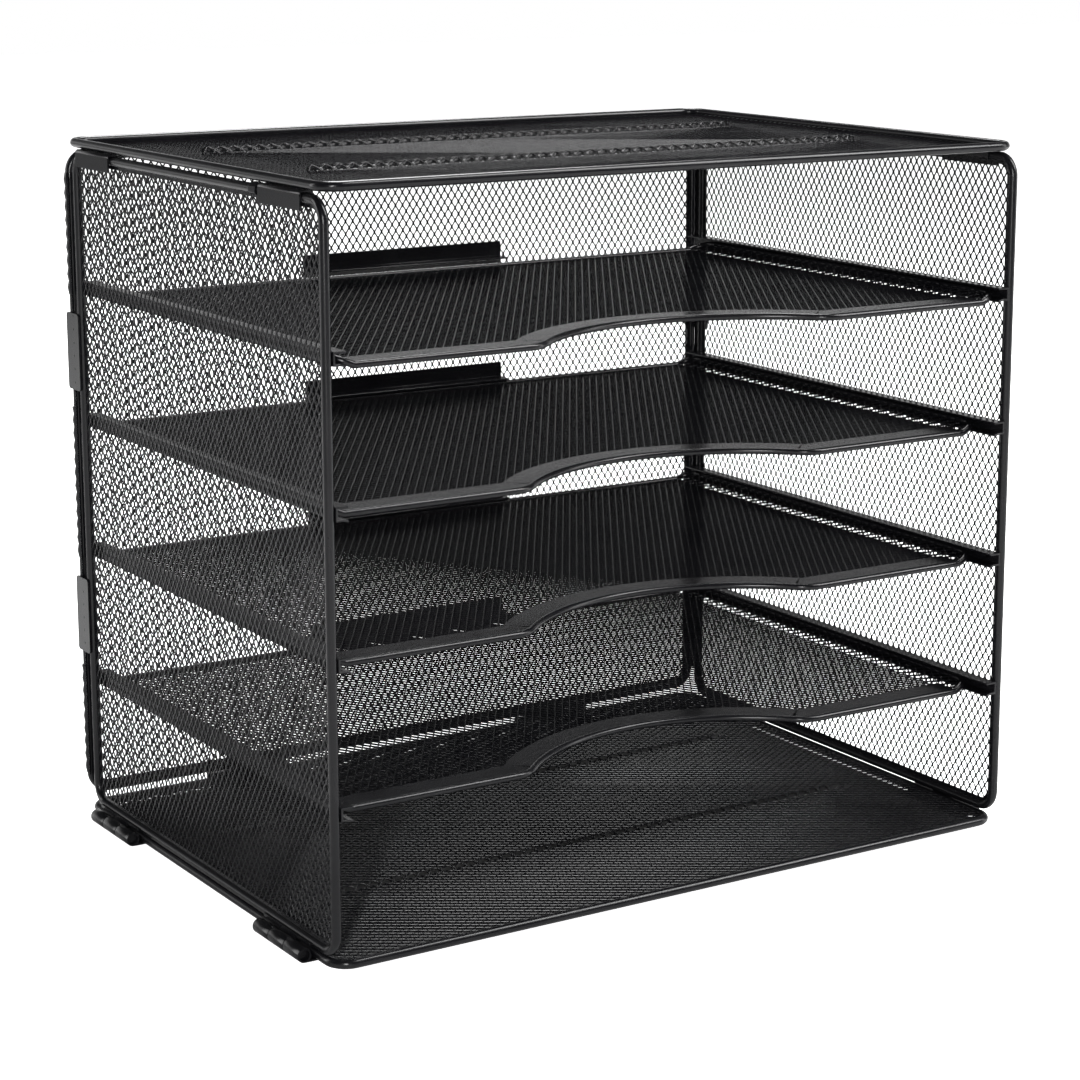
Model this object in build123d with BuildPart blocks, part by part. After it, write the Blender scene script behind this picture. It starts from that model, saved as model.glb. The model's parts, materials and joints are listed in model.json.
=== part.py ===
from build123d import *

import os

os.makedirs("parts", exist_ok=True)

# Stock: wire for the frames, wire for the shelves, sheet for the fittings, expanded sheet for the panels
wire_radius = 1.9
shelf_wire_radius = 1.4
fitting_sheet = 0.8
hinge_sheet = 0.9
mesh_sheet = 0.6
wire_flats = 8

# Clearances between pieces that move, that rest on each other, and that turn on a pin
moving_gap = 0.3
seat_gap = 0.2
pin_running_gap = 0.05
mesh_edge_gap = 0.02
overrun = 5.0

# Bottom and top rings, from wire centre to wire centre
ring_width = 316.0
ring_depth = 227.0
ring_rise = 287.2
corner_bend = 8.0

# Light gaps between the panels' frames
panel_gap = 0.5
post_gap = 4.6
back_lift = 2.2

# Hinges along the bottom ring
pin_radius = 2.0
pin_recess = 1.5
barrel_length = 38.0
side_hinge_spread = 156.0
back_hinge_spread = 162.0
base_leaf_reach = 11.0
leaf_cover = 0.4

# Rails on the side panels, channels that open inward, one pair for each shelf
shelf_count = 4
first_rail_share = 0.2044
rail_pitch_share = 0.195
rail_height = 5.4
rail_flange = 5.2
rail_lip_drop = 0.6
rail_side_gap = 0.4

# Sliding shelves, the top one of which stands drawn out a little
first_shelf_draw = 10.0
shelf_setback = 10.6
shelf_rear_gap = 3.6
shelf_corner_bend = 8.0
shelf_dish = 5.5
shelf_dish_half = 100.0
shelf_dish_bend = 40.0
front_slant = 19.0
recess_half = 57.0
recess_floor_half = 31.0
recess_depth = 24.0
recess_bend = 40.0
front_strip_width = 10.0
front_strip_sheet = 0.8

# Hold-down brackets on the back panel
bracket_length = 101.0
bracket_flange = 8.0
bracket_height = 10.0

# Saddles that carry the top, a stop bead, and the clip plates at the rear posts
saddle_length = 33.0
front_saddle_setback = 12.9
rear_saddle_setback = 13.4
saddle_outer_drop = 4.4
saddle_inner_drop = 1.0
saddle_bend = 1.4
bead_radius = 2.6
bead_length = 5.2
bead_gap = 2.7
clip_height = 32.5
clip_corner = 1.5
lower_clip_share = 0.3
clip_spacing_share = 0.396

# Stiffening ribs pressed into the bottom and top panels
panel_mesh_offset = 1.2
rib_half = 2.0
rib_length = 258.0
rib_distance = 90.0

# Expanded mesh, drawn as an open lattice of about twelve times the real cell
net_cell_short = 46.0
net_cell_long = 72.0
net_margin = 2.0
net_open_share = 0.86

# Derived places of the frames, with the ground at zero and the middle of the whole rack at the origin
bore_radius = pin_radius + pin_running_gap
barrel_radius = bore_radius + hinge_sheet
ring_axis_out = wire_radius + moving_gap + barrel_radius
axis_z = barrel_radius
bottom_z = hinge_sheet + wire_radius
top_z = bottom_z + ring_rise
half_width = ring_width / 2
front_y = (wire_radius - ring_axis_out - barrel_radius - ring_depth) / 2
rear_y = front_y + ring_depth
middle_y = (front_y + rear_y) / 2
side_x = half_width + moving_gap
back_y = rear_y + moving_gap
side_rear_y = back_y - 2 * wire_radius - post_gap
side_bottom_z = bottom_z + 2 * wire_radius + panel_gap
side_top_z = top_z - 2 * wire_radius - fitting_sheet - seat_gap
back_bottom_z = side_bottom_z + back_lift
back_top_z = side_top_z
hinge_x = half_width + ring_axis_out
hinge_y = rear_y + ring_axis_out

# Derived places of the rails and the shelves that run in them
rail_x = side_x - wire_radius
shelf_x = rail_x - fitting_sheet - rail_side_gap - shelf_wire_radius
shelf_front_y = front_y + shelf_setback
bracket_y = back_y - mesh_sheet / 2
shelf_rear_y = bracket_y - fitting_sheet - shelf_rear_gap - shelf_wire_radius
recess_start_y = shelf_front_y + front_slant
recess_floor_y = recess_start_y + recess_depth
dish_share = (shelf_x - shelf_dish_half) / (shelf_x - recess_half)
dish_front_y = shelf_front_y + front_slant * dish_share
shelf_edge_inset = shelf_wire_radius + mesh_edge_gap


def save(part, name):
    part.label = name
    export_step(part, "parts/" + name + ".step")


# The round section of a wire, drawn with a few flats
def wire_section(radius, mode):
    RegularPolygon(radius, wire_flats, major_radius=False, rotation=180 / wire_flats, mode=mode)


# A closed loop of wire with a bend at each corner
def wire_loop(corners, bends, radius):
    with BuildPart() as loop:
        with BuildLine() as path:
            FilletPolyline(*corners, radius=bends, close=True)
        with BuildSketch(Plane(origin=path.line @ 0, z_dir=path.line % 0)):
            wire_section(radius, Mode.ADD)
        sweep()
    return loop.part


# The four corners of a panel's frame, in the plane that two directions span
def panel_corners(plane, width, height):
    signs = ((-1, -1), (1, -1), (1, 1), (-1, 1))
    return [plane.from_local_coords((a * width / 2, b * height / 2, 0)) for a, b in signs]


# Diamond openings in two staggered grids, the second of which runs over the edges
def net_openings(width, length):
    columns = int(width // net_cell_short)
    rows = int(length // net_cell_long)
    cell_short = width / columns
    cell_long = length / rows
    half_short = cell_short * net_open_share / 2
    half_long = cell_long * net_open_share / 2
    diamond = [(half_short, 0), (0, half_long), (-half_short, 0), (0, -half_long)]
    for extra in (0, 1):
        with GridLocations(cell_short, cell_long, columns + extra, rows + extra):
            Polygon(*diamond, align=None)


# A flat mesh panel that reaches to the inner faces of its frame's wires
def mesh_panel(plane, width, height):
    inset = wire_radius + mesh_edge_gap
    net_inset = inset + net_margin
    with BuildPart() as panel:
        with BuildSketch(plane):
            RectangleRounded(width - 2 * inset, height - 2 * inset, corner_bend - inset)
        extrude(amount=mesh_sheet / 2, both=True)
        with BuildSketch(plane):
            net_openings(width - 2 * net_inset, height - 2 * net_inset)
            Rectangle(width - 2 * net_inset, height - 2 * net_inset, mode=Mode.INTERSECT)
        extrude(amount=mesh_sheet / 2, both=True, mode=Mode.SUBTRACT)
    return panel.part


# The fixed halves of the hinges: two end knuckles each, on a leaf that lies under the ring's wire
def base_leaves(planes):
    with BuildPart() as leaves:
        for plane in planes:
            for start in (-barrel_length / 2, barrel_length / 2 - knuckle_length):
                with BuildSketch(plane.offset(start)):
                    Circle(barrel_radius)
                    with Locations((0, -barrel_radius)):
                        Rectangle(base_leaf_reach, hinge_sheet, align=(Align.MIN, Align.MIN))
                    Circle(bore_radius, mode=Mode.SUBTRACT)
                extrude(amount=knuckle_length)
            with BuildSketch(plane.offset(knuckle_length - barrel_length / 2)):
                with Locations((barrel_radius + moving_gap, -barrel_radius)):
                    Rectangle(
                        base_leaf_reach - barrel_radius - moving_gap,
                        hinge_sheet,
                        align=(Align.MIN, Align.MIN),
                    )
            extrude(amount=barrel_length - 2 * knuckle_length)
    return leaves.part


# The moving halves of the hinges: one middle knuckle each, on a leaf that stands against the panel's wire
def panel_leaves(planes, leaf_rise):
    leaf_x = barrel_radius - hinge_sheet
    leaf_start = barrel_radius + moving_gap
    with BuildPart() as leaves:
        for plane in planes:
            with BuildSketch(plane.offset(-knuckle_length / 2)):
                Circle(barrel_radius)
                with Locations((leaf_x, 0)):
                    Rectangle(hinge_sheet, leaf_rise, align=(Align.MIN, Align.MIN))
                Circle(bore_radius, mode=Mode.SUBTRACT)
            extrude(amount=knuckle_length)
            with BuildSketch(plane.offset(-barrel_length / 2)):
                with Locations((leaf_x, leaf_start)):
                    Rectangle(hinge_sheet, leaf_rise - leaf_start, align=(Align.MIN, Align.MIN))
            extrude(amount=barrel_length)
    return leaves.part


# Hinge planes: across the inboard direction, up, and along the pin
knuckle_length = (barrel_length - 2 * moving_gap) / 3
side_hinge_ys = [middle_y - side_hinge_spread / 2, middle_y + side_hinge_spread / 2]
back_hinge_xs = [-back_hinge_spread / 2, back_hinge_spread / 2]
left_hinges = [
    Plane(origin=(-hinge_x, y, axis_z), x_dir=(1, 0, 0), z_dir=(0, -1, 0)) for y in side_hinge_ys
]
right_hinges = [
    Plane(origin=(hinge_x, y, axis_z), x_dir=(-1, 0, 0), z_dir=(0, 1, 0)) for y in side_hinge_ys
]
back_hinges = [
    Plane(origin=(x, hinge_y, axis_z), x_dir=(0, -1, 0), z_dir=(-1, 0, 0)) for x in back_hinge_xs
]

save(base_leaves(left_hinges), "left_base_hinge_leaves")
save(base_leaves(right_hinges), "right_base_hinge_leaves")
save(base_leaves(back_hinges), "back_base_hinge_leaves")

side_leaf_rise = side_bottom_z - axis_z + leaf_cover
back_leaf_rise = back_bottom_z - axis_z + leaf_cover
save(panel_leaves(left_hinges, side_leaf_rise), "left_hinge_leaves")
save(panel_leaves(right_hinges, side_leaf_rise), "right_hinge_leaves")
save(panel_leaves(back_hinges, back_leaf_rise), "back_hinge_leaves")

pin_length = barrel_length - 2 * pin_recess
with BuildPart() as pins:
    for hinge in left_hinges + right_hinges + back_hinges:
        with BuildSketch(hinge.offset(-pin_length / 2)):
            Circle(pin_radius)
        extrude(amount=pin_length)
save(pins.part, "hinge_pins")

# Bottom and top panels: a wire ring each, with the mesh high in the bottom one and low in the top one
rib_inner_half = rib_half - mesh_sheet
rib_outer = [(-rib_half, 0), (0, -rib_half), (rib_half, 0)]
rib_inner = [(-rib_inner_half, 0), (0, -rib_inner_half), (rib_inner_half, 0)]
for name, ring_z, mesh_z in (
    ("bottom", bottom_z, bottom_z + panel_mesh_offset),
    ("top", top_z, top_z - panel_mesh_offset),
):
    ring_plane = Plane(origin=(0, middle_y, ring_z))
    ring = wire_loop(panel_corners(ring_plane, ring_width, ring_depth), corner_bend, wire_radius)
    save(ring, name + "_frame")

    mesh_plane = Plane(origin=(0, middle_y, mesh_z))
    rib_start = Plane(
        origin=(-rib_length / 2, middle_y, mesh_z - mesh_sheet / 2), x_dir=(0, 1, 0), z_dir=(1, 0, 0)
    )
    with BuildPart() as ribbed:
        add(mesh_panel(mesh_plane, ring_width, ring_depth))
        with BuildSketch(rib_start):
            with Locations((-rib_distance / 2, 0), (rib_distance / 2, 0)):
                Polygon(*rib_outer, align=None)
                Polygon(*rib_inner, align=None, mode=Mode.SUBTRACT)
        extrude(amount=rib_length)
        with BuildSketch(mesh_plane):
            with Locations((0, -rib_distance / 2), (0, rib_distance / 2)):
                Rectangle(rib_length, 2 * rib_inner_half)
        extrude(amount=mesh_sheet / 2, both=True, mode=Mode.SUBTRACT)
    save(ribbed.part, name + "_mesh")

# Back panel
back_height = back_top_z - back_bottom_z
back_plane = Plane(
    origin=(0, back_y, (back_top_z + back_bottom_z) / 2), x_dir=(1, 0, 0), z_dir=(0, -1, 0)
)
save(wire_loop(panel_corners(back_plane, ring_width, back_height), corner_bend, wire_radius), "back_frame")
save(mesh_panel(back_plane, ring_width, back_height), "back_mesh")

# Heights of the rails, counted from the top, and of the shelves that rest in them
first_rail_z = bottom_z + ring_rise * first_rail_share
rail_pitch = ring_rise * rail_pitch_share
rail_zs = [first_rail_z + rail_pitch * step for step in reversed(range(shelf_count))]
seat_rise = rail_height / 2 - fitting_sheet - seat_gap - shelf_wire_radius
rail_half = rail_height / 2
rail_flat = fitting_sheet + rail_side_gap + shelf_wire_radius
rail_run = side_rear_y - front_y + 2 * wire_radius

# Channel section, from the web's outer face inward, with the lower lip flared down
rail_section = [
    (0, -rail_half),
    (rail_flat, -rail_half),
    (rail_flange, -rail_half - rail_lip_drop),
    (rail_flange, fitting_sheet - rail_half - rail_lip_drop),
    (rail_flat, fitting_sheet - rail_half),
    (fitting_sheet, fitting_sheet - rail_half),
    (fitting_sheet, rail_half - fitting_sheet),
    (rail_flange, rail_half - fitting_sheet),
    (rail_flange, rail_half),
    (0, rail_half),
]

# Saddle section about the top wire, from inboard to outboard
saddle_reach = wire_radius + fitting_sheet
saddle_section = [
    (saddle_reach, -saddle_outer_drop),
    (saddle_reach, saddle_reach),
    (-saddle_reach, saddle_reach),
    (-saddle_reach, -saddle_inner_drop),
    (-wire_radius, -saddle_inner_drop),
    (-wire_radius, wire_radius),
    (wire_radius, wire_radius),
    (wire_radius, -saddle_outer_drop),
]
inner_bend = saddle_bend - fitting_sheet
saddle_bends = [0, saddle_bend, saddle_bend, 0, 0, inner_bend, inner_bend, 0]
saddle_starts = (front_y + front_saddle_setback, rear_y - rear_saddle_setback - saddle_length)
bead_y = front_y + front_saddle_setback + saddle_length + bead_gap + bead_length / 2
lower_clip_z = bottom_z + ring_rise * lower_clip_share
clip_zs = (lower_clip_z, lower_clip_z + ring_rise * clip_spacing_share)

# Side panels
side_depth = side_rear_y - front_y
side_height = side_top_z - side_bottom_z
side_middle_y = (side_rear_y + front_y) / 2
for name, side in (("left", -1), ("right", 1)):
    side_plane = Plane(
        origin=(side * side_x, side_middle_y, (side_top_z + side_bottom_z) / 2),
        x_dir=(0, 1, 0),
        z_dir=(1, 0, 0),
    )
    frame = wire_loop(panel_corners(side_plane, side_depth, side_height), corner_bend, wire_radius)
    save(frame, name + "_side_frame")
    save(mesh_panel(side_plane, side_depth, side_height), name + "_side_mesh")

    for number, rail_z in enumerate(rail_zs, 1):
        with BuildPart() as rail:
            with BuildSketch(Plane.XZ.offset(-side_rear_y - wire_radius)):
                with BuildLine():
                    Polyline(*[(side * (rail_x - u), rail_z + v) for u, v in rail_section], close=True)
                make_face()
            extrude(amount=rail_run)
        save(rail.part, name + "_rail_" + str(number))

    with BuildPart() as saddles:
        for start in saddle_starts:
            with BuildSketch(Plane.XZ.offset(-start)):
                with BuildLine():
                    FilletPolyline(
                        *[(side * (side_x + u), side_top_z + v) for u, v in saddle_section],
                        radius=saddle_bends,
                        close=True,
                    )
                make_face()
            extrude(amount=-saddle_length)
        with BuildSketch(Plane.XZ.offset(-bead_y)):
            with Locations((side * side_x, side_top_z)):
                wire_section(bead_radius, Mode.ADD)
                wire_section(wire_radius, Mode.SUBTRACT)
        extrude(amount=bead_length / 2, both=True)
        with BuildSketch(Plane.XY.offset(side_top_z)):
            with Locations((side * side_x, bead_y)):
                Rectangle(mesh_sheet + 2 * mesh_edge_gap, bead_length)
        extrude(amount=-overrun, mode=Mode.SUBTRACT)
    save(saddles.part, name + "_top_saddles")

    with BuildPart() as clips:
        clip_run = back_y - side_rear_y + 2 * wire_radius
        with BuildSketch(Plane.YZ.offset(side * (side_x + wire_radius))):
            with Locations(*[((back_y + side_rear_y) / 2, z) for z in clip_zs]):
                RectangleRounded(clip_run, clip_height, clip_corner)
        extrude(amount=side * fitting_sheet)
    save(clips.part, name + "_rear_clips")

# Right half of a shelf's wire, from the rear round to the finger recess: each corner and its bend
half_wire = [
    (shelf_dish_half, shelf_rear_y, shelf_dish_bend),
    (shelf_x, shelf_rear_y, shelf_corner_bend),
    (shelf_x, shelf_front_y, shelf_corner_bend),
    (shelf_dish_half, dish_front_y, shelf_dish_bend),
    (recess_half, recess_start_y, recess_bend),
    (recess_floor_half, recess_floor_y, recess_bend),
]
half_plan = [(x, y, bend) for x, y, bend in half_wire if x != shelf_dish_half]
front_reach = front_strip_width + shelf_edge_inset


def both_halves(half):
    return half + [(-x, y, bend) for x, y, bend in reversed(half)]


# The shelf's outline, drawn in by the given inset
def shelf_outline(inset):
    plan = both_halves(half_plan)
    bends = [bend for x, y, bend in plan]
    with BuildSketch() as outline:
        with BuildLine():
            FilletPolyline(*[(x, y) for x, y, bend in plan], radius=bends, close=True)
        make_face()
        offset(amount=-inset)
    return outline.sketch


# Section of a sheet that follows the shelf's dish, between two heights above the wires' centres
def dished_section(wire_z, low, high):
    crest = [(-shelf_x, wire_z), (-shelf_dish_half, wire_z - shelf_dish)]
    crest += [(shelf_dish_half, wire_z - shelf_dish), (shelf_x, wire_z)]
    lower = [(x, z + low) for x, z in crest]
    upper = [(x, z + high) for x, z in reversed(crest)]
    return lower + upper


# The band along the front edge, from the wire in to the given reach
def front_band(reach):
    with BuildSketch() as band:
        add(shelf_outline(shelf_edge_inset))
        add(shelf_outline(reach), mode=Mode.SUBTRACT)
        with Locations((0, recess_floor_y + reach)):
            Rectangle(
                2 * shelf_x,
                shelf_rear_y - recess_floor_y,
                align=(Align.CENTER, Align.MIN),
                mode=Mode.SUBTRACT,
            )
        with Locations(*[(sign * shelf_x, shelf_front_y + reach) for sign in (-1, 1)]):
            Rectangle(
                2 * reach,
                shelf_rear_y - shelf_front_y,
                align=(Align.CENTER, Align.MIN),
                mode=Mode.SUBTRACT,
            )
    return band.sketch


# The folded strip covers the band, and the lattice opens behind it
shelf_depth = shelf_rear_y - shelf_front_y
strip_top = mesh_sheet / 2 + front_strip_sheet
strip_band = front_band(front_reach)
with BuildSketch() as shelf_net:
    with Locations((0, (shelf_front_y + shelf_rear_y) / 2)):
        net_openings(2 * shelf_x, shelf_depth)
    add(shelf_outline(shelf_edge_inset + net_margin), mode=Mode.INTERSECT)
    add(front_band(front_reach + net_margin), mode=Mode.SUBTRACT)

for number, rail_z in enumerate(rail_zs, 1):
    wire_z = rail_z - seat_rise
    dished_z = wire_z - shelf_dish
    shelf_place = Location((0, -first_shelf_draw if number == 1 else 0, 0))
    wire = both_halves(half_wire)
    path_corners = [(x, y, wire_z if abs(x) == shelf_x else dished_z) for x, y, bend in wire]
    path_bends = [bend for x, y, bend in wire]
    shelf_wire = wire_loop(path_corners, path_bends, shelf_wire_radius)
    save(shelf_wire.moved(shelf_place), "shelf_" + str(number) + "_frame")

    cut_z = dished_z - overrun
    cut_height = shelf_dish + 2 * overrun
    with BuildPart() as shelf_mesh:
        with BuildSketch(Plane.XZ.offset(-shelf_rear_y)):
            with BuildLine():
                Polyline(*dished_section(wire_z, -mesh_sheet / 2, mesh_sheet / 2), close=True)
            make_face()
        extrude(amount=shelf_depth)
        with BuildSketch(Plane.XY.offset(cut_z)):
            add(shelf_outline(shelf_edge_inset))
        extrude(amount=cut_height, mode=Mode.INTERSECT)
        with BuildSketch(Plane.XY.offset(cut_z)):
            add(shelf_net.sketch)
        extrude(amount=cut_height, mode=Mode.SUBTRACT)
    save(shelf_mesh.part.moved(shelf_place), "shelf_" + str(number) + "_mesh")

    with BuildPart() as strip:
        with BuildSketch(Plane.XZ.offset(-shelf_rear_y)):
            with BuildLine():
                Polyline(*dished_section(wire_z, mesh_sheet / 2, strip_top), close=True)
            make_face()
        extrude(amount=shelf_depth)
        with BuildSketch(Plane.XY.offset(cut_z)):
            add(strip_band)
        extrude(amount=cut_height, mode=Mode.INTERSECT)
    save(strip.part.moved(shelf_place), "shelf_" + str(number) + "_front_strip")

    bracket_z = dished_z + shelf_wire_radius + moving_gap
    with BuildPart() as bracket:
        with BuildSketch(Plane.YZ.offset(-bracket_length / 2)):
            with BuildLine():
                Polyline(
                    (bracket_y, bracket_z),
                    (bracket_y, bracket_z + bracket_height),
                    (bracket_y - fitting_sheet, bracket_z + bracket_height),
                    (bracket_y - fitting_sheet, bracket_z + fitting_sheet),
                    (bracket_y - bracket_flange, bracket_z + fitting_sheet),
                    (bracket_y - bracket_flange, bracket_z),
                    close=True,
                )
            make_face()
        extrude(amount=bracket_length)
    save(bracket.part, "back_bracket_" + str(number))
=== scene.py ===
import json
import math

import bpy
from mathutils import Matrix, Vector


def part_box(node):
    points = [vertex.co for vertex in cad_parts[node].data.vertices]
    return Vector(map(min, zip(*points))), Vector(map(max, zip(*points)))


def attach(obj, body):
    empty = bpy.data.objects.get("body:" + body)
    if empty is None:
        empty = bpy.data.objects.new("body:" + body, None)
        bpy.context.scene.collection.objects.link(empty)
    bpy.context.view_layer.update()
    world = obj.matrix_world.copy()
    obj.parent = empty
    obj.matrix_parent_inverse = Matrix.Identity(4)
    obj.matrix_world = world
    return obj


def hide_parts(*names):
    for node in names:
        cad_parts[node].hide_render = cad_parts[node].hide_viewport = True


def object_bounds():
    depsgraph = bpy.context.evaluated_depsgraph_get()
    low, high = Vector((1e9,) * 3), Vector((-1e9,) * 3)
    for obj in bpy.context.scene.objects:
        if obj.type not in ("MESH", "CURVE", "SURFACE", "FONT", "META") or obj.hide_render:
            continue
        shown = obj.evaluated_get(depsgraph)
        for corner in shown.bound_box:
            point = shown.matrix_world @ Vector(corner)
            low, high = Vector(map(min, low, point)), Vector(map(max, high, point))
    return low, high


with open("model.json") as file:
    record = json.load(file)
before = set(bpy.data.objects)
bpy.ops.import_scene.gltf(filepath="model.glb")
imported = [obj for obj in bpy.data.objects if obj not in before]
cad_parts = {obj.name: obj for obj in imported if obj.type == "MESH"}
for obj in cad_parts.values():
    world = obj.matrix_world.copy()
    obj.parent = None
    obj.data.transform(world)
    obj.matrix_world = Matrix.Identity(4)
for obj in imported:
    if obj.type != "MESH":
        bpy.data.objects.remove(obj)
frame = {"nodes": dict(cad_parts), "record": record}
cad_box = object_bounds()

# The photograph's camera, in metres and in pixels of its square frame
photo_pixels = 1080
focal_pixels = 2780
principal_x = 573
principal_y = 487
camera_azimuth = math.radians(-32.65)
camera_elevation = math.radians(11.83)
camera_place = Vector((-0.6065, -0.9772, 0.3861))
sensor_width = 36

# Bent wire
frame_bend = 0.008
bend_steps = 10
arc_step = 0.003
wire_sides = 20

# Expanded mesh: a diamond's two ways, the strand's section, and the bond where two strands meet
diamond_short = 0.00362
side_diamond_short = 0.00385
diamond_long = 0.00565
wall_strand = (0.00068, 0.00056)
floor_strand = (0.00056, 0.00082)
strand_sides = 8
sharp_turn = math.radians(55)
crossing_drop = 0.00005
bond_half_width = 0.00044
bond_half_flat = 0.00045
bond_half_length = 0.00095
bond_step = 0.00003
floor_bond_step = 0.0002
selvage_width = 0.0013
selvage_thick = 0.0005

# Pressed ribs of the top and bottom panels
rib_distance = 0.090
rib_half_length = 0.129
rib_half_width = 0.0024
rib_depth = 0.0022

# Where a strand bends across a rib, in half widths; the outermost two lie on the flat beside it
rib_shares = (-1.3, -1, -0.5, 0, 0.5, 1, 1.3)

# Shelf plan: a flat floor a little below its side wires, and a finger recess, an arc between two flanks
shelf_count = 4
shelf_wire_radius = 0.0014
shelf_sink = 0.0030
shelf_sink_run = 0.008
side_fold_lift = 0.0009
shelf_corner_bend = 0.008
recess_half = 0.067
recess_flank = math.radians(46)
recess_bend = 0.088
shoulder_bend = 0.012
strip_setback = 0.6
strip_width = 0.010
strip_sheet = 0.0008
strip_rise = 0.0003
bracket_gap = 0.0003
bracket_sheet = 0.0008

# How far the floor of the solid shelf dips in the middle below its side wires
solid_dish = 0.0055

# The back's mesh, folded round its posts in a row of points
fold_pitch = 0.00565
fold_root = 0.0021
fold_tip = 0.0026
fold_reach = (0.0026, 0.0054)
fold_valley = (0.0022, 0.0042)
fold_start = (0.0012, 0.0016)
clip_height = 0.0325

# Small rolled edges of the sheet pieces
rolled_edge = 0.0002
rolled_edge_steps = 2
rolled_edge_turn = math.radians(40)
weld_reach = 1e-6

# The powder coat: its refractive index, low enough for deep blacks face on and bright edges at a glance,
# its cloudy tone and its orange peel
coat_index = 1.33
cloud_scale = 38
cloud_detail = 4
cloud_low = 0.3
cloud_high = 0.7
peel_scale = 1400
peel_detail = 2
peel_height = 0.0001

# The pale floor, with painted shade where the rack stands
floor_half = 6.0
floor_roughness = 0.85
floor_cloud_scale = 6
floor_pale = (0.86, 0.86, 0.86, 1)
floor_white = (0.92, 0.92, 0.92, 1)
# Painted shade: the floor's colour under the rack, standing in for its shadow
floor_painted_shade = (0.04, 0.04, 0.04, 1)
footprint_inset = 0.009
white = (1, 1, 1, 1)

# The wall that the coat mirrors, in parts of a unit direction: it begins beside the rack
# and ends at a low height
wall_begins = (-0.1, 0.5)
wall_ends = (0.10, 0.36)
wall_bright = 1.0
wall_dim = 0.05

# The colour sockets of a mix node, by number because its socket names repeat
mix_first = 6
mix_second = 7
mix_result = 2


# Points round a closed line of corners, each corner rounded by its own bend
def rounded(corners, bends):
    points = []
    count = len(corners)
    for i, corner in enumerate(corners):
        back = (corners[i - 1] - corner).normalized()
        ahead = (corners[(i + 1) % count] - corner).normalized()
        half_turn = (math.pi - back.angle(ahead)) / 2
        reach = bends[i] * math.tan(half_turn)
        inward = (back + ahead).normalized()
        centre = corner + inward * bends[i] / math.cos(half_turn)
        start = corner + back * reach - centre
        axis = start.cross(corner + ahead * reach - centre).normalized()
        steps_by_turn = math.ceil(bend_steps * half_turn * 4 / math.pi)
        steps_by_length = math.ceil(2 * half_turn * bends[i] / arc_step)
        steps = max(steps_by_turn, steps_by_length, 2)
        for step in range(steps + 1):
            turn = Matrix.Rotation(2 * half_turn * step / steps, 3, axis)
            points.append(centre + turn @ start)
    return points


# A closed line with a point added wherever it crosses one of the given x places
def split_line(points, x_places):
    line = []
    for a, b in zip(points, points[1:] + points[:1]):
        line.append(a)
        shares = sorted((x - a.x) / (b.x - a.x) for x in x_places if (x - a.x) * (x - b.x) < 0)
        line.extend(a.lerp(b, share) for share in shares)
    return line


# Adds a tube with the given section along points to lists of vertices and faces
def add_tube(vertices, faces, points, section, upward, closed):
    first = len(vertices)
    count = len(points)
    sides = len(section)
    for i, point in enumerate(points):
        before = points[i - 1] if closed or i else point
        after = points[(i + 1) % count] if closed or i < count - 1 else point
        along = (after - before).normalized()
        across = along.cross(upward).normalized()
        rise = across.cross(along)
        vertices.extend(point + across * u + rise * v for u, v in section)
    rings = count if closed else count - 1
    for ring in range(rings):
        low = first + ring * sides
        high = first + (ring + 1) % count * sides
        for side in range(sides):
            turn = (side + 1) % sides
            faces.append((low + side, low + turn, high + turn, high + side))
    if not closed:
        faces.append(tuple(first + side for side in reversed(range(sides))))
        last = first + rings * sides
        faces.append(tuple(last + side for side in range(sides)))


def round_section(radius):
    turns = [2 * math.pi * side / wire_sides for side in range(wire_sides)]
    return [(radius * math.cos(turn), radius * math.sin(turn)) for turn in turns]


# A strand's section, its edges rounded by the coat
def strand_section(strand):
    turns = [2 * math.pi * (side + 0.5) / strand_sides for side in range(strand_sides)]
    return [(strand[0] / 2 * math.cos(turn), strand[1] / 2 * math.sin(turn)) for turn in turns]


def make_piece(name, vertices, faces, node, body, material):
    mesh = bpy.data.meshes.new(name)
    mesh.from_pydata(vertices, [], faces)
    mesh.validate()
    mesh.shade_smooth()
    mesh.set_sharp_from_angle(angle=sharp_turn)
    mesh.materials.append(material)
    piece = bpy.data.objects.new(name, mesh)
    bpy.context.scene.collection.objects.link(piece)
    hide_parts(node)
    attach(piece, body)
    return piece


# The stretches of a straight line that lie inside a closed outline
def inside_spans(start, along, outline):
    crossings = []
    for a, b in zip(outline, outline[1:] + outline[:1]):
        edge = b - a
        spread = along.x * edge.y - along.y * edge.x
        if abs(spread) < 1e-12:
            continue
        offset = a - start
        on_edge = (offset.x * along.y - offset.y * along.x) / spread
        if 0 <= on_edge < 1:
            crossings.append((offset.x * edge.y - offset.y * edge.x) / spread)
    crossings.sort()
    return list(zip(crossings[::2], crossings[1::2]))


# A closed prism between the same outline at two levels
def add_prism(vertices, faces, low, high):
    first = len(vertices)
    count = len(low)
    vertices.extend(low)
    vertices.extend(high)
    for i in range(count):
        turn = (i + 1) % count
        faces.append((first + i, first + turn, first + count + turn, first + count + i))
    faces.append(tuple(first + i for i in reversed(range(count))))
    faces.append(tuple(first + count + i for i in range(count)))


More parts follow.
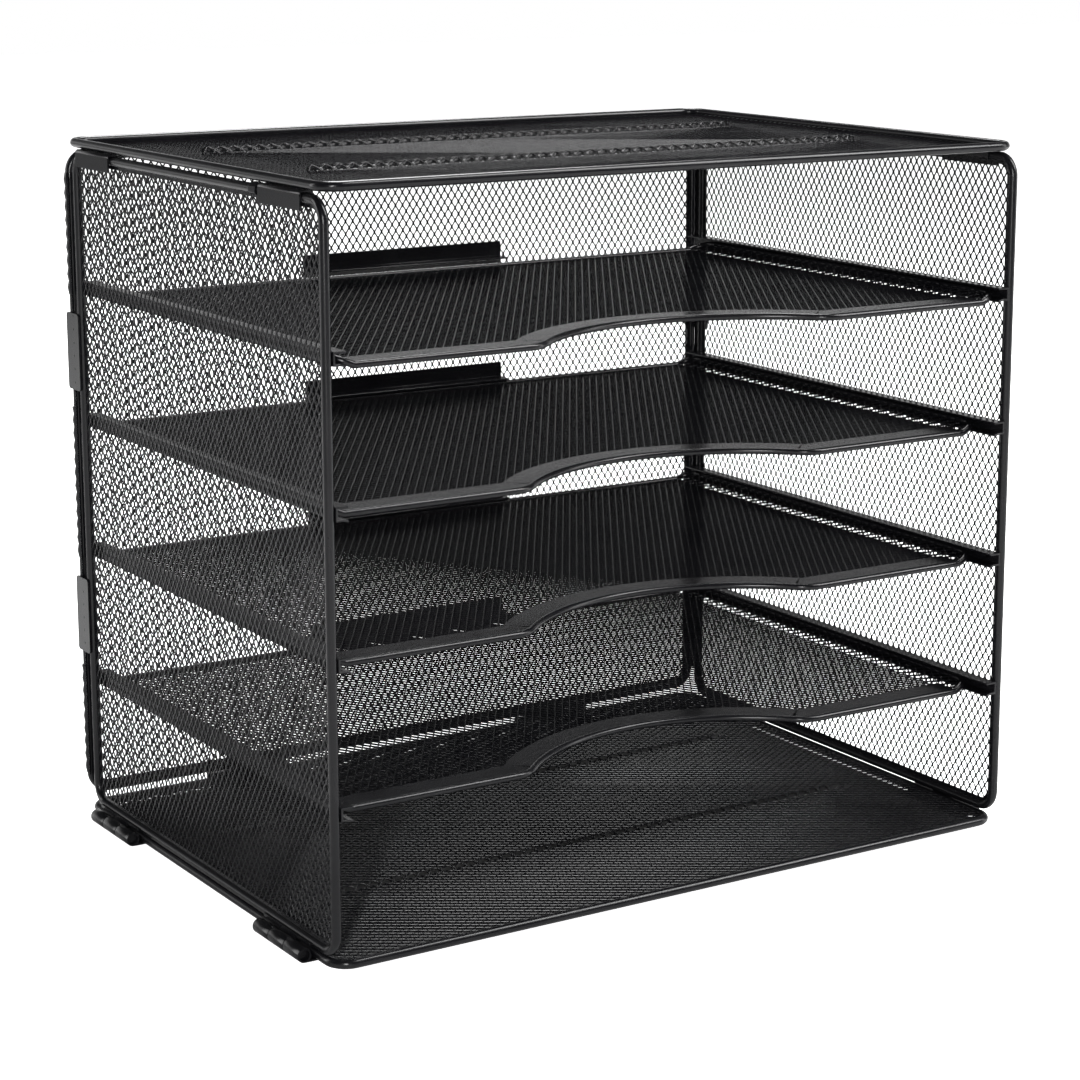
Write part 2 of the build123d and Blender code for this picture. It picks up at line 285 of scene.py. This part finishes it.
# The short bonds where the strands of the two families meet, a row at a time
def add_bonds(vertices, faces, outline, place, upward, middle, short, strand):
    half_short, half_long = short / 2, diamond_long / 2
    corners = [
        Vector((0, bond_half_length)),
        Vector((-bond_half_width, bond_half_flat)),
        Vector((-bond_half_width, -bond_half_flat)),
        Vector((0, -bond_half_length)),
        Vector((bond_half_width, -bond_half_flat)),
        Vector((bond_half_width, bond_half_flat)),
    ]
    first = math.ceil((min(p.y for p in outline) + bond_half_length - middle.y) / half_long)
    last = math.floor((max(p.y for p in outline) - bond_half_length - middle.y) / half_long)
    step = floor_bond_step if strand == floor_strand else bond_step
    rise = upward * (strand[1] / 2 - step)
    for row in range(first, last + 1):
        start = Vector((middle.x, middle.y + row * half_long))
        for low, high in inside_spans(start, Vector((1, 0)), outline):
            column = math.ceil((low + bond_half_width) / half_short)
            column += (column + row) % 2
            while column * half_short <= high - bond_half_width:
                centre = start + Vector((column * half_short, 0))
                points = [place(centre + corner) for corner in corners]
                add_prism(vertices, faces, [p - rise for p in points], [p + rise for p in points])
                column += 2


# Two crossing families of strands inside an outline; place lifts a flat point into the rack
def add_lattice(vertices, faces, outline, place, upward, x_breaks, y_breaks, short, strand):
    section = strand_section(strand)
    step = Vector((short, diamond_long)).normalized()
    pitch = short * step.y
    middle = (
        Vector((min(p.x for p in outline), min(p.y for p in outline)))
        + Vector((max(p.x for p in outline), max(p.y for p in outline)))
    ) / 2
    add_bonds(vertices, faces, outline, place, upward, middle, short, strand)
    for family in (-1, 1):
        along = Vector((family * step.x, step.y))
        across = Vector((along.y, -along.x))
        reaches = [(p - middle).dot(across) for p in outline]
        first = math.ceil(min(reaches) / pitch)
        last = math.floor(max(reaches) / pitch)
        for number in range(first, last + 1):
            start = middle + across * number * pitch
            for low, high in inside_spans(start, along, outline):
                if high - low < 2 * strand[0]:
                    continue
                places = {low, high}
                places.update((x - start.x) / along.x for x in x_breaks)
                places.update((y - start.y) / along.y for y in y_breaks)
                kept = sorted(t for t in places if low <= t <= high)
                drop = crossing_drop * family
                points = [place(start + along * t) + upward * drop for t in kept]
                add_tube(vertices, faces, points, section, upward, False)


# A satin powder coat: near black, with a faint orange peel and slightly uneven gloss
def powder_coat(name, dark, light, gloss_low, gloss_high, peel):
    material = bpy.data.materials.new(name)
    material.use_nodes = True
    nodes = material.node_tree.nodes
    links = material.node_tree.links
    shader = nodes["Principled BSDF"]
    shader.inputs["IOR"].default_value = coat_index
    place = nodes.new("ShaderNodeTexCoord")

    cloud = nodes.new("ShaderNodeTexNoise")
    cloud.inputs["Scale"].default_value = cloud_scale
    cloud.inputs["Detail"].default_value = cloud_detail
    links.new(place.outputs["Object"], cloud.inputs["Vector"])

    tone = nodes.new("ShaderNodeValToRGB")
    tone.color_ramp.elements[0].position = cloud_low
    tone.color_ramp.elements[0].color = (*dark, 1)
    tone.color_ramp.elements[1].position = cloud_high
    tone.color_ramp.elements[1].color = (*light, 1)
    links.new(cloud.outputs["Fac"], tone.inputs["Fac"])
    links.new(tone.outputs["Color"], shader.inputs["Base Color"])

    gloss = nodes.new("ShaderNodeMapRange")
    gloss.inputs["To Min"].default_value = gloss_low
    gloss.inputs["To Max"].default_value = gloss_high
    links.new(cloud.outputs["Fac"], gloss.inputs["Value"])
    links.new(gloss.outputs["Result"], shader.inputs["Roughness"])

    grain = nodes.new("ShaderNodeTexNoise")
    grain.inputs["Scale"].default_value = peel_scale
    grain.inputs["Detail"].default_value = peel_detail
    links.new(place.outputs["Object"], grain.inputs["Vector"])
    bump = nodes.new("ShaderNodeBump")
    bump.inputs["Strength"].default_value = peel
    bump.inputs["Distance"].default_value = peel_height
    links.new(grain.outputs["Fac"], bump.inputs["Height"])
    links.new(bump.outputs["Normal"], shader.inputs["Normal"])
    return material


coats = {
    "wire": powder_coat("wire_coat", (0.004, 0.004, 0.005), (0.008, 0.008, 0.009), 0.20, 0.28, 0.15),
    "mesh": powder_coat("mesh_coat", (0.003, 0.003, 0.004), (0.006, 0.006, 0.007), 0.12, 0.22, 0.1),
    "sheet": powder_coat("sheet_coat", (0.004, 0.004, 0.005), (0.008, 0.008, 0.009), 0.16, 0.24, 0.2),
    "hinge": powder_coat("hinge_coat", (0.004, 0.004, 0.005), (0.008, 0.008, 0.009), 0.18, 0.26, 0.2),
}
slots = {row["node"]: row["material_slot"] for row in frame["record"]["subparts"]}
bodies = {}
for body_name, names in frame["record"]["behaviour"]["bodies"].items():
    for node_name in names:
        bodies[node_name] = body_name


# Small rolled edges on a piece of sheet
def roll_edges(obj):
    bevel = obj.modifiers.new("rolled_edge", "BEVEL")
    bevel.width = rolled_edge
    bevel.segments = rolled_edge_steps
    bevel.limit_method = "ANGLE"
    bevel.angle_limit = rolled_edge_turn


# The CAD sheet pieces keep their shape and get small rolled edges and the coat
def dress_node(node):
    obj = frame["nodes"][node]
    obj.data.materials.clear()
    obj.data.materials.append(coats[slots[node]])
    weld = obj.modifiers.new("weld", "WELD")
    weld.merge_threshold = weld_reach
    roll_edges(obj)


# A closed frame of round wire along its centre line
def wire_piece(node, points, radius, upward):
    vertices, faces = [], []
    add_tube(vertices, faces, points, round_section(radius), upward, True)
    make_piece(node + "_wire", vertices, faces, node, bodies[node], coats["wire"])


# A frame's centre line: the corners of its box, drawn in by the wire's radius, in the plane it lies in
def frame_line(node, flat_axis):
    low, high = (Vector(corner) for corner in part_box(node))
    radius = (high[flat_axis] - low[flat_axis]) / 2
    inset = Vector((radius, radius, radius))
    low, high = low + inset, high - inset
    u, v = [axis for axis in (0, 1, 2) if axis != flat_axis]
    corners = []
    for a, b in ((low, low), (high, low), (high, high), (low, high)):
        corner = Vector(low)
        corner[u] = a[u]
        corner[v] = b[v]
        corners.append(corner)
    upward = Vector((0, 0, 0))
    upward[flat_axis] = 1
    return corners, radius, upward


# The unslit edge of the mesh, a flat band along the inside of a frame's wires
def add_selvage(vertices, faces, corners, radius, upward, lift):
    middle = (corners[0] + corners[2]) / 2
    rings = []
    for inset in (radius / 2, radius + selvage_width):
        drawn = []
        for corner in corners:
            away = corner - middle
            shift = [math.copysign(inset, part) if abs(part) > inset else 0 for part in away]
            drawn.append(corner - Vector(shift))
        rings.append(rounded(drawn, [frame_bend - inset] * 4))
    outer, inner = rings
    count = len(outer)
    first = len(vertices)
    rise = upward * selvage_thick / 2
    for ring in (outer, inner):
        for sign in (-1, 1):
            vertices.extend(p + upward * lift + rise * sign for p in ring)
    for i in range(count):
        turn = (i + 1) % count
        outer_low, outer_high, inner_low, inner_high = (first + count * k for k in range(4))
        faces.append((outer_high + i, outer_high + turn, inner_high + turn, inner_high + i))
        faces.append((outer_low + turn, outer_low + i, inner_low + i, inner_low + turn))
        faces.append((inner_low + turn, inner_low + i, inner_high + i, inner_high + turn))
        faces.append((outer_low + i, outer_low + turn, outer_high + turn, outer_high + i))


clip_low, clip_high = (corner[2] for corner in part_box("left_rear_clips"))
clip_spans = [(clip_low, clip_low + clip_height), (clip_high - clip_height, clip_high)]


# The back's mesh where it is folded round a post: a sleeve of points, open at the clip plates,
# and a toothed edge in front
def add_fold(vertices, faces, post, top):
    level = post.z + frame_bend
    teeth = int((top - level) / fold_pitch)
    sleeve = [[]]
    for tooth in range(2 * teeth + 1):
        rise = level + tooth * fold_pitch / 2
        if any(low - fold_pitch < rise < high + fold_pitch for low, high in clip_spans):
            if sleeve[-1]:
                sleeve.append([])
            continue
        sleeve[-1].append((rise, fold_tip if tooth % 2 else fold_root))
    for run in sleeve:
        first = len(vertices)
        for rise, reach in run:
            for side in range(wire_sides):
                turn = 2 * math.pi * side / wire_sides
                out = Vector((reach * math.cos(turn), reach * math.sin(turn), 0))
                vertices.append(Vector((post.x, post.y, rise)) + out)
        for ring in range(len(run) - 1):
            low = first + ring * wire_sides
            for side in range(wire_sides):
                turn = (side + 1) % wire_sides
                faces.append((low + side, low + turn, low + wire_sides + turn, low + wire_sides + side))
        if run:
            faces.append(tuple(first + side for side in reversed(range(wire_sides))))
            last = first + (len(run) - 1) * wire_sides
            faces.append(tuple(last + side for side in range(wire_sides)))
    outward = math.copysign(1, post.x)
    edge = [(fold_start, level), (fold_start, level + teeth * fold_pitch)]
    for tooth in range(2 * teeth, -1, -1):
        edge.append((fold_reach if tooth % 2 else fold_valley, level + tooth * fold_pitch / 2))
    inner = [Vector((post.x + outward * reach[0], post.y - reach[1], z)) for reach, z in edge]
    add_prism(vertices, faces, inner, [p + Vector((outward * selvage_thick, 0, 0)) for p in inner])


panels = {"bottom": 2, "top": 2, "left_side": 0, "right_side": 0, "back": 1}
for panel, flat_axis in panels.items():
    corners, radius, upward = frame_line(panel + "_frame", flat_axis)
    line = rounded(corners, [frame_bend] * 4)
    wire_piece(panel + "_frame", line, radius, upward)

    # The diamonds stand upright in the walls and lie across the top and bottom
    mesh_low, mesh_high = (Vector(corner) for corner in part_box(panel + "_mesh"))
    u, v = {0: (1, 2), 1: (0, 2), 2: (1, 0)}[flat_axis]
    outline = [Vector((p[u], p[v])) for p in line]
    strand = floor_strand if flat_axis == 2 else wall_strand
    x_breaks, y_breaks, ribs = [], [], []
    level = (mesh_low[flat_axis] + mesh_high[flat_axis]) / 2
    if flat_axis == 2:
        level = mesh_high.z - strand[1] / 2
        middle = (corners[0].y + corners[2].y) / 2
        ribs = [middle - rib_distance / 2, middle + rib_distance / 2]
        y_breaks = [-rib_half_length, rib_half_length]
        for rib in ribs:
            x_breaks += [rib + rib_half_width * share for share in rib_shares]

    # The ribs stand up from the top and are pressed down into the bottom
    rise = rib_depth if panel == "top" else -rib_depth

    def place(flat, flat_axis=flat_axis, level=level, ribs=ribs, u=u, v=v, rise=rise):
        point = Vector((0, 0, 0))
        point[u] = flat.x
        point[v] = flat.y
        point[flat_axis] = level
        for rib in ribs:
            share = (flat.x - rib) / rib_half_width
            if abs(share) < 1 and abs(flat.y) <= rib_half_length:
                point.z += rise * (1 - share * share)
        return point

    vertices, faces = [], []
    short = side_diamond_short if flat_axis == 0 else diamond_short
    facing = -upward if flat_axis == 2 else upward
    add_lattice(vertices, faces, outline, place, facing, x_breaks, y_breaks, short, strand)
    if flat_axis != 2:
        add_selvage(vertices, faces, corners, radius, upward, level - corners[0][flat_axis])
    if panel == "back":
        for post in (corners[0], corners[1]):
            add_fold(vertices, faces, post, corners[2].z - frame_bend)
    node = panel + "_mesh"
    make_piece(panel + "_lattice", vertices, faces, node, bodies[node], coats["mesh"])

# Shelves
for number in range(1, shelf_count + 1):
    shelf = "shelf_" + str(number)
    node = shelf + "_frame"
    low, high = (Vector(corner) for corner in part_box(node))
    radius = shelf_wire_radius
    side_x = high.x - radius
    front_y, rear_y = low.y + radius, high.y - radius
    wire_z = (low.z + high.z + solid_dish) / 2
    right = [
        (side_x, rear_y, shelf_corner_bend),
        (side_x, front_y, shelf_corner_bend),
        (recess_half, front_y, shoulder_bend),
    ]
    left = [(-x, y, bend) for x, y, bend in reversed(right)]
    plan = right + [(0, front_y + recess_half * math.tan(recess_flank), recess_bend)] + left

    # The floor sinks from the side wires within a short run
    def place(flat, wire_z=wire_z, side_x=side_x):
        share = (side_x - abs(flat.x)) / shelf_sink_run
        return Vector((flat.x, flat.y, wire_z - shelf_sink * min(1, share)))

    # Strands and wire bend at the foot of that run and are straight again just past it
    breaks = []
    for side in (-1, 1):
        breaks.append(side * (side_x - shelf_sink_run))
        breaks.append(side * (side_x - shelf_sink_run - arc_step / 2))
    flat_line = rounded([Vector((x, y, 0)) for x, y, bend in plan], [bend for x, y, bend in plan])
    line = [place(point) for point in split_line(flat_line, breaks)]
    up = Vector((0, 0, 1))
    wire_piece(node, line, radius, up)

    vertices, faces = [], []
    outline = [Vector((p.x, p.y)) for p in line]
    add_lattice(vertices, faces, outline, place, up, breaks, [], diamond_short, floor_strand)

    # The mesh is folded over the side wires, a second layer as wide as the sink
    def place_fold(flat, place=place):
        return place(flat) + Vector((0, 0, side_fold_lift))

    for side in (-1, 1):
        near, far = side * (side_x - shelf_sink_run), side * side_x
        ends = (front_y + shelf_corner_bend, rear_y - shelf_corner_bend)
        fold = [
            Vector((near, ends[0])),
            Vector((far, ends[0])),
            Vector((far, ends[1])),
            Vector((near, ends[1])),
        ]
        add_lattice(vertices, faces, fold, place_fold, up, [], [], diamond_short, floor_strand)
    node = shelf + "_mesh"
    make_piece(shelf + "_lattice", vertices, faces, node, bodies[node], coats["mesh"])

    # The strip lies on the mesh along the front wire, from one corner bend to the other
    edge = [p for p in line if p.y < 0 and abs(p.x) < side_x - shelf_corner_bend / 2]
    ends = [place(Vector((side * (side_x - shelf_corner_bend), front_y))) for side in (1, -1)]
    edge = [ends[0]] + [p for p in edge if abs(p.x) < ends[0].x - arc_step] + [ends[1]]
    rings = []
    for i, point in enumerate(edge):
        along = edge[min(i + 1, len(edge) - 1)] - edge[max(i - 1, 0)]
        inward = along.cross(up).normalized()
        outer = point + inward * radius * strip_setback
        inner = point + inward * (radius + strip_width)
        lift = Vector((0, 0, strip_rise))
        sheet = Vector((0, 0, strip_sheet))
        rings.append([outer + lift, inner + lift, inner + lift + sheet, outer + lift + sheet])
    vertices = [corner for ring in rings for corner in ring]
    faces = [(0, 1, 2, 3), tuple(len(vertices) - 1 - k for k in range(4))]
    for i in range(len(rings) - 1):
        for k in range(4):
            turn = (k + 1) % 4
            faces.append((4 * i + k, 4 * i + 4 + k, 4 * i + 4 + turn, 4 * i + turn))
    node = shelf + "_front_strip"
    strip = make_piece(shelf + "_strip", vertices, faces, node, bodies[node], coats["sheet"])
    roll_edges(strip)

    # The bracket that holds the shelf's rear wire down
    node = "back_bracket_" + str(number)
    low, high = (Vector(corner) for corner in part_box(node))
    base = wire_z - shelf_sink + radius + bracket_gap
    profile = [
        (high.y, low.z),
        (high.y, high.z),
        (high.y - bracket_sheet, high.z),
        (high.y - bracket_sheet, base + bracket_sheet),
        (low.y, base + bracket_sheet),
        (low.y, base),
        (high.y - bracket_sheet, base),
        (high.y - bracket_sheet, low.z),
    ]
    vertices, faces = [], []
    left_end = [Vector((low.x, y, z)) for y, z in profile]
    right_end = [Vector((high.x, y, z)) for y, z in profile]
    add_prism(vertices, faces, left_end, right_end)
    bracket = make_piece(node + "_sheet", vertices, faces, node, bodies[node], coats["sheet"])
    roll_edges(bracket)

# The pieces that keep their solid's shape
remade = ("_frame", "_mesh", "_front_strip")
for node in slots:
    if not node.endswith(remade) and not node.startswith("back_bracket"):
        dress_node(node)


# A math node that works on the given outputs and numbers
def math_node(tree, operation, *values):
    node = tree.nodes.new("ShaderNodeMath")
    node.operation = operation
    for socket, value in zip(node.inputs, values):
        if isinstance(value, (int, float)):
            socket.default_value = value
        else:
            tree.links.new(value, socket)
    return node.outputs["Value"]


floor_mesh = bpy.data.meshes.new("floor")
floor_corners = [(-1, -1), (1, -1), (1, 1), (-1, 1)]
floor_points = [(x * floor_half, y * floor_half, 0) for x, y in floor_corners]
floor_mesh.from_pydata(floor_points, [], [(0, 1, 2, 3)])
floor = bpy.data.objects.new("floor", floor_mesh)
bpy.context.scene.collection.objects.link(floor)
floor_paint = bpy.data.materials.new("floor_paint")
floor_paint.use_nodes = True
floor_tree = floor_paint.node_tree
floor_nodes = floor_tree.nodes
floor_links = floor_tree.links
floor_shader = floor_nodes["Principled BSDF"]
floor_shader.inputs["Roughness"].default_value = floor_roughness
floor_shader.inputs["Emission Color"].default_value = white
floor_place = floor_nodes.new("ShaderNodeTexCoord")
floor_cloud = floor_nodes.new("ShaderNodeTexNoise")
floor_cloud.inputs["Scale"].default_value = floor_cloud_scale
floor_links.new(floor_place.outputs["Object"], floor_cloud.inputs["Vector"])
floor_tone = floor_nodes.new("ShaderNodeValToRGB")
floor_tone.color_ramp.elements[0].color = floor_pale
floor_tone.color_ramp.elements[1].color = floor_white
floor_links.new(floor_cloud.outputs["Fac"], floor_tone.inputs["Fac"])

# The floor has painted shade under the rack: a dark colour and no glow there. Everywhere else it glows
# white to the camera
floor_split = floor_nodes.new("ShaderNodeSeparateXYZ")
floor_links.new(floor_place.outputs["Object"], floor_split.inputs["Vector"])
outside = []
for axis, axis_name in enumerate("XY"):
    low, high = cad_box[0][axis], cad_box[1][axis]
    offset = math_node(floor_tree, "SUBTRACT", floor_split.outputs[axis_name], (low + high) / 2)
    distance = math_node(floor_tree, "ABSOLUTE", offset)
    reach = (high - low) / 2 - footprint_inset
    outside.append(math_node(floor_tree, "GREATER_THAN", distance, reach))
open_floor = math_node(floor_tree, "MAXIMUM", *outside)
# Painted shade: this mix puts the dark colour under the rack and the pale tone outside it
painted_shade_mix = floor_nodes.new("ShaderNodeMix")
painted_shade_mix.data_type = "RGBA"
painted_shade_mix.inputs[mix_first].default_value = floor_painted_shade
floor_links.new(open_floor, painted_shade_mix.inputs["Factor"])
floor_links.new(floor_tone.outputs["Color"], painted_shade_mix.inputs[mix_second])
floor_links.new(painted_shade_mix.outputs[mix_result], floor_shader.inputs["Base Color"])
floor_ray = floor_nodes.new("ShaderNodeLightPath")
floor_glow = math_node(floor_tree, "MULTIPLY", open_floor, floor_ray.outputs["Is Camera Ray"])
floor_links.new(floor_glow, floor_shader.inputs["Emission Strength"])
floor_mesh.materials.append(floor_paint)


# A softbox that faces a target, with its width and height in metres and its power in watts
def area_light(name, place, target, size, power):
    data = bpy.data.lights.new(name, "AREA")
    data.shape = "RECTANGLE"
    data.size, data.size_y = size
    data.energy = power
    light = bpy.data.objects.new(name, data)
    light.location = place
    light.rotation_euler = (Vector(target) - Vector(place)).to_track_quat("-Z", "Y").to_euler()
    bpy.context.scene.collection.objects.link(light)


area_light("front_softbox", (1.2, -1.0, 1.7), (0, 0, 0.15), (0.6, 1.5), 55)
area_light("camera_softbox", (-1.57, -2.45, 0.85), (0, 0, 0.1), (0.6, 1.2), 60)
area_light("rear_softbox", (0.68, 1.06, 2.05), (0, 0, 0.29), (0.8, 1.4), 60)
area_light("left_softbox", (-1.5, 1.1, 0.6), (0, 0, 0.15), (0.5, 1.4), 11)
area_light("right_softbox", (1.9, -0.8, 0.6), (0, 0, 0.15), (0.5, 1.4), 11)

# A white studio for the camera; what the coat mirrors is a low bright wall behind the rack
world = bpy.data.worlds.new("studio")
bpy.context.scene.world = world
world.use_nodes = True
nodes = world.node_tree.nodes
links = world.node_tree.links
background = nodes["Background"]
direction = nodes.new("ShaderNodeTexCoord")
split = nodes.new("ShaderNodeSeparateXYZ")
links.new(direction.outputs["Generated"], split.inputs["Vector"])


# A smooth change of brightness along one part of the direction
def ramp(part, span, at_low, at_high):
    step = nodes.new("ShaderNodeMapRange")
    step.interpolation_type = "SMOOTHSTEP"
    step.inputs["From Min"].default_value = span[0]
    step.inputs["From Max"].default_value = span[1]
    step.inputs["To Min"].default_value = at_low
    step.inputs["To Max"].default_value = at_high
    links.new(split.outputs[part], step.inputs["Value"])
    return step.outputs["Result"]


behind = ramp("Y", wall_begins, wall_dim, wall_bright)
height = ramp("Z", wall_ends, wall_bright, wall_dim)
wall = math_node(world.node_tree, "MULTIPLY", behind, height)
ray = nodes.new("ShaderNodeLightPath")
seen = math_node(world.node_tree, "MAXIMUM", ray.outputs["Is Camera Ray"], wall)
links.new(seen, background.inputs["Strength"])
background.inputs["Color"].default_value = white
bpy.context.scene.view_settings.view_transform = "Standard"

# The camera
camera_data = bpy.data.cameras.new("camera")
camera_data.sensor_width = sensor_width
camera_data.lens = focal_pixels / photo_pixels * sensor_width
camera_data.shift_x = (photo_pixels / 2 - principal_x) / photo_pixels
camera_data.shift_y = (principal_y - photo_pixels / 2) / photo_pixels
camera = bpy.data.objects.new("camera", camera_data)
turn = Matrix.Rotation(camera_azimuth, 4, "Z") @ Matrix.Rotation(math.pi / 2 - camera_elevation, 4, "X")
camera.matrix_world = Matrix.Translation(camera_place) @ turn
bpy.context.scene.collection.objects.link(camera)
bpy.context.scene.camera = camera
